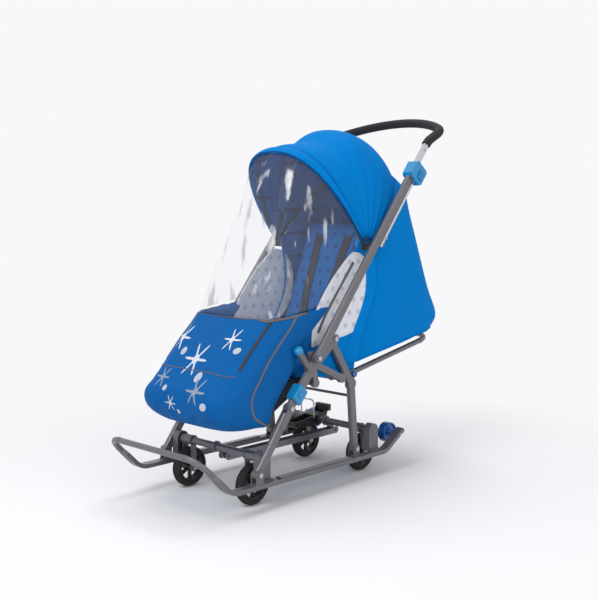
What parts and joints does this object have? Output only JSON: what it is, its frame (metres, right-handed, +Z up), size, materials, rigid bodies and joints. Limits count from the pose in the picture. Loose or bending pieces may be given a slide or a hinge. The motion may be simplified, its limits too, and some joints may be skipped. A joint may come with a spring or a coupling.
{
  "type": "sled stroller",
  "caption": "Child's sled pushchair: runners with pedal-lifted wheels, folding frame, telescopic push bar, tilting hood, rain cover and padded foot muff.",
  "frame": {"origin": "on the ground under the middle of the whole part", "axes": "+X to the child's left, -Y to the front, +Z up"},
  "size_m": [0.452, 1.0482, 1.0623],
  "materials": {
    "frame_paint": "satin",
    "bracket_paint": "satin",
    "sheet_steel": "satin",
    "bolt_steel": "satin",
    "chrome": "polished",
    "foam": "matt",
    "black_plastic": "matt",
    "tyre": "matt",
    "roller_blue": "gloss",
    "clamp_blue": "gloss",
    "bow_plastic": "matt",
    "blue_cloth": "woven",
    "lining_cloth": "woven",
    "webbing": "woven",
    "clear_film": "clear gloss"
  },
  "bodies": {
    "chassis": {"runner_frame": "frame_paint", "runner_rails": "sheet_steel", "front_brackets": "bracket_paint", "rear_brackets": "bracket_paint", "leg_feet": "frame_paint", "chassis_bolts": "bolt_steel"},
    "front_lift": {"front_axle_tube": "frame_paint", "front_forks": "frame_paint", "front_wheel_bolts": "bolt_steel"},
    "rear_lift": {"rear_axle_tube": "frame_paint", "rear_forks": "frame_paint", "rear_wheel_bolts": "bolt_steel", "pedal": "black_plastic"},
    "link": {"link_bar": "sheet_steel"},
    "bail": {"latch_bail": "bolt_steel"},
    "wheel_front_left": {"tyre_front_left": "tyre", "rim_front_left": "black_plastic"},
    "wheel_front_right": {"tyre_front_right": "tyre", "rim_front_right": "black_plastic"},
    "wheel_rear_left": {"tyre_rear_left": "tyre", "rim_rear_left": "black_plastic"},
    "wheel_rear_right": {"tyre_rear_right": "tyre", "rim_rear_right": "black_plastic"},
    "roller_left": {"rear_roller_left": "roller_blue"},
    "roller_right": {"rear_roller_right": "roller_blue"},
    "legs": {"front_legs": "frame_paint"},
    "upper": {"side_frame_left": "frame_paint", "side_frame_right": "frame_paint", "frame_bolts": "bolt_steel", "seat_tubes": "frame_paint", "seat_pan": "lining_cloth", "muff": "blue_cloth", "side_panels": "lining_cloth", "buckle": "black_plastic"},
    "rear_leg_pair": {"rear_legs": "frame_paint", "cross_rod": "frame_paint", "hinge_caps": "roller_blue"},
    "rear_loop": {"rear_frame": "frame_paint"},
    "sleeve_left": {"knee_sleeve_left": "clamp_blue"},
    "knob_left": {"latch_knob_left": "clamp_blue"},
    "sleeve_right": {"knee_sleeve_right": "clamp_blue"},
    "knob_right": {"latch_knob_right": "clamp_blue"},
    "handle": {"handle_tube_left": "frame_paint", "handle_tube_right": "frame_paint", "stay_rods": "chrome", "bar_clamps": "clamp_blue", "rear_bow": "bow_plastic", "back_cover": "blue_cloth"},
    "push_bar_body": {"push_bar": "chrome", "grip": "foam"},
    "hood": {"front_bow": "bow_plastic", "canopy": "blue_cloth", "rain_cover": "clear_film"},
    "hood_middle": {"mid_bow": "bow_plastic"},
    "back_pivot": {"back_rod": "frame_paint"},
    "back": {"backrest": "lining_cloth", "harness": "webbing"},
    "calf_board": {"footrest": "webbing"},
    "button_left": {"clamp_button_left": "clamp_blue"},
    "button_right": {"clamp_button_right": "clamp_blue"}
  },
  "joints": [
    {"name": "wheel_lift", "type": "hinge", "parent": "chassis", "child": "front_lift", "pos_m": [0, -0.28125, 0.133], "axis": [-1, 0, 0], "range_deg": [0, 95]},
    {"name": "rear_wheel_lift", "type": "hinge", "parent": "chassis", "child": "rear_lift", "pos_m": [0, 0.16276, 0.133], "axis": [-1, 0, 0], "range_deg": [0, 95]},
    {"name": "link_turn", "type": "hinge", "parent": "front_lift", "child": "link", "pos_m": [0, -0.25013, 0.10189], "axis": [-1, 0, 0], "range_deg": [-95, 0]},
    {"name": "bail_turn", "type": "hinge", "parent": "rear_lift", "child": "bail", "pos_m": [0, 0.13476, 0.141], "axis": [1, 0, 0], "range_deg": [0, 60]},
    {"name": "front_left_spin", "type": "hinge", "parent": "front_lift", "child": "wheel_front_left", "pos_m": [0.129, -0.28125, 0.056], "axis": [1, 0, 0], "continuous": true},
    {"name": "front_right_spin", "type": "hinge", "parent": "front_lift", "child": "wheel_front_right", "pos_m": [-0.129, -0.28125, 0.056], "axis": [1, 0, 0], "continuous": true},
    {"name": "rear_left_spin", "type": "hinge", "parent": "rear_lift", "child": "wheel_rear_left", "pos_m": [0.112, 0.17875, 0.056], "axis": [1, 0, 0], "continuous": true},
    {"name": "rear_right_spin", "type": "hinge", "parent": "rear_lift", "child": "wheel_rear_right", "pos_m": [-0.112, 0.17875, 0.056], "axis": [1, 0, 0], "continuous": true},
    {"name": "roller_left_spin", "type": "hinge", "parent": "chassis", "child": "roller_left", "pos_m": [0.1495, 0.26063, 0.10739], "axis": [1, 0, 0], "continuous": true},
    {"name": "roller_right_spin", "type": "hinge", "parent": "chassis", "child": "roller_right", "pos_m": [-0.1495, 0.26063, 0.10739], "axis": [1, 0, 0], "continuous": true},
    {"name": "leg_fold", "type": "hinge", "parent": "chassis", "child": "legs", "pos_m": [0, -0.31825, 0.099], "axis": [1, 0, 0], "range_deg": [0, 60], "deforming": ["muff"]},
    {"name": "knee_fold", "type": "hinge", "parent": "legs", "child": "upper", "pos_m": [0, -0.20125, 0.255], "axis": [1, 0, 0], "range_deg": [-88.27, 0]},
    {"name": "rear_leg_fold", "type": "hinge", "parent": "chassis", "child": "rear_leg_pair", "pos_m": [0, 0.08475, 0.092], "axis": [1, 0, 0], "range_deg": [0, 26.26]},
    {"name": "rear_loop_fold", "type": "hinge", "parent": "rear_leg_pair", "child": "rear_loop", "pos_m": [0, 0.08375, 0.309], "axis": [1, 0, 0], "range_deg": [-30, 0]},
    {"name": "sleeve_left_slide", "type": "slide", "parent": "upper", "child": "sleeve_left", "axis": [0, 0.6735, 0.7392], "range_m": [0, 0.024]},
    {"name": "knob_left_pull", "type": "slide", "parent": "upper", "child": "knob_left", "axis": [0, -0.6157, 0.788], "range_m": [0, 0.008], "stiffness_N_per_m": 400, "springref_m": -0.004},
    {"name": "sleeve_right_slide", "type": "slide", "parent": "upper", "child": "sleeve_right", "axis": [0, 0.6735, 0.7392], "range_m": [0, 0.024]},
    {"name": "knob_right_pull", "type": "slide", "parent": "upper", "child": "knob_right", "axis": [0, -0.6157, 0.788], "range_m": [0, 0.008], "stiffness_N_per_m": 400, "springref_m": -0.004},
    {"name": "handle_fold", "type": "hinge", "parent": "upper", "child": "handle", "pos_m": [0, -0.11124, 0.381], "axis": [1, 0, 0], "range_deg": [0, 75], "deforming": ["back_cover"]},
    {"name": "push_bar_slide", "type": "slide", "parent": "handle", "child": "push_bar_body", "axis": [0, 0.6293, 0.7771], "range_m": [-0.03, 0.1]},
    {"name": "hood_swing", "type": "hinge", "parent": "handle", "child": "hood", "pos_m": [0, 0.12286, 0.6701], "axis": [-1, 0, 0], "range_deg": [0, 60], "deforming": ["canopy", "rain_cover"]},
    {"name": "mid_bow_swing", "type": "hinge", "parent": "handle", "child": "hood_middle", "pos_m": [0, 0.12286, 0.6701], "axis": [-1, 0, 0], "range_deg": [0, 27]},
    {"name": "back_fold", "type": "hinge", "parent": "upper", "child": "back_pivot", "pos_m": [0, 0.05876, 0.33], "axis": [1, 0, 0], "range_deg": [0, 57]},
    {"name": "recline", "type": "hinge", "parent": "back_pivot", "child": "back", "pos_m": [0, 0.05876, 0.33], "axis": [-1, 0, 0], "range_deg": [0, 25]},
    {"name": "footrest_swing", "type": "hinge", "parent": "upper", "child": "calf_board", "pos_m": [0, -0.10125, 0.3097], "axis": [-1, 0, 0], "range_deg": [0, 35]},
    {"name": "button_left_press", "type": "slide", "parent": "handle", "child": "button_left", "axis": [-1, 0, 0], "range_m": [0, 0.0035], "stiffness_N_per_m": 600, "springref_m": -0.002},
    {"name": "button_right_press", "type": "slide", "parent": "handle", "child": "button_right", "axis": [1, 0, 0], "range_m": [0, 0.0035], "stiffness_N_per_m": 600, "springref_m": -0.002}
  ],
  "couplings": [
    {"joint": "rear_wheel_lift", "follows": "wheel_lift", "ratio": 1},
    {"joint": "link_turn", "follows": "wheel_lift", "ratio": -1},
    {"joint": "knee_fold", "follows": "leg_fold", "ratio": -1.4711},
    {"joint": "rear_leg_fold", "follows": "leg_fold", "ratio": 0.4376},
    {"joint": "rear_loop_fold", "follows": "leg_fold", "ratio": -0.5},
    {"joint": "back_fold", "follows": "handle_fold", "ratio": 0.75},
    {"joint": "mid_bow_swing", "follows": "hood_swing", "ratio": 0.45}
  ]
}
